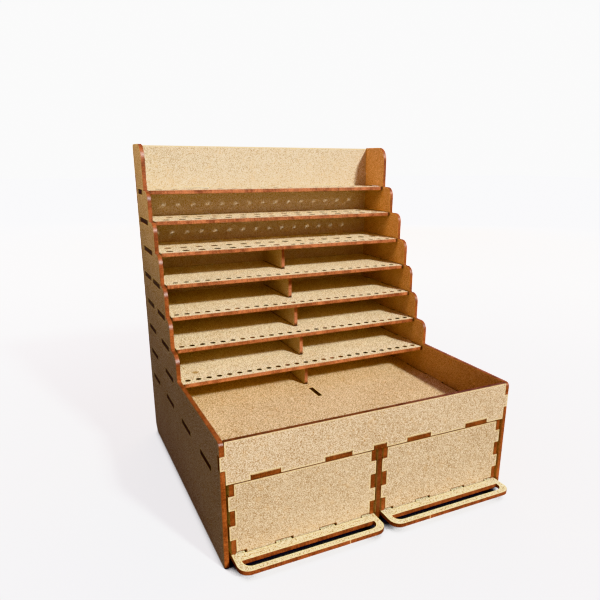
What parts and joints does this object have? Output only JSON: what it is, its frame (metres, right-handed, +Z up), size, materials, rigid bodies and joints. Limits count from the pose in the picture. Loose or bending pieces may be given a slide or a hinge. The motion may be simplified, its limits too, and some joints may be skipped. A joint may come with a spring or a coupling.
{
  "type": "tool bit rack organizer",
  "caption": "Stepped desktop rack of laser-cut fibreboard, with perforated shelves that hold bits upright, a front tray and sliding drawers with slotted pull lips.",
  "frame": {"origin": "centre of the footprint, on the surface that the rack stands on; the footprint includes the drawer lips", "axes": "+Z up, -Y towards the open front where the drawers pull out, +X to the right seen from the front"},
  "size_m": [0.355, 0.374, 0.408],
  "materials": {
    "fibreboard": "raw medium-density fibreboard, matte and finely speckled, with brown laser-burnt edges"
  },
  "bodies": {
    "carcass": {"left_side_panel": "fibreboard", "right_side_panel": "fibreboard", "back_panel": "fibreboard", "shelf_1": "fibreboard", "shelf_2": "fibreboard", "shelf_3": "fibreboard", "shelf_4": "fibreboard", "shelf_5": "fibreboard", "shelf_6": "fibreboard", "shelf_7": "fibreboard", "tray_floor": "fibreboard", "front_apron": "fibreboard", "center_partition": "fibreboard", "base_panel": "fibreboard", "divider_1": "fibreboard", "divider_2": "fibreboard", "divider_3": "fibreboard", "divider_4": "fibreboard", "divider_5": "fibreboard"},
    "left_drawer": {"left_drawer_bottom": "fibreboard", "left_drawer_front": "fibreboard", "left_drawer_back": "fibreboard", "left_drawer_left_wall": "fibreboard", "left_drawer_right_wall": "fibreboard"},
    "right_drawer": {"right_drawer_bottom": "fibreboard", "right_drawer_front": "fibreboard", "right_drawer_back": "fibreboard", "right_drawer_left_wall": "fibreboard", "right_drawer_right_wall": "fibreboard"}
  },
  "joints": [
    {"name": "left_drawer_slide", "type": "slide", "parent": "carcass", "child": "left_drawer", "axis": [0, -1, 0], "range_m": [0, 0.25]},
    {"name": "right_drawer_slide", "type": "slide", "parent": "carcass", "child": "right_drawer", "axis": [0, -1, 0], "range_m": [0, 0.25]}
  ]
}
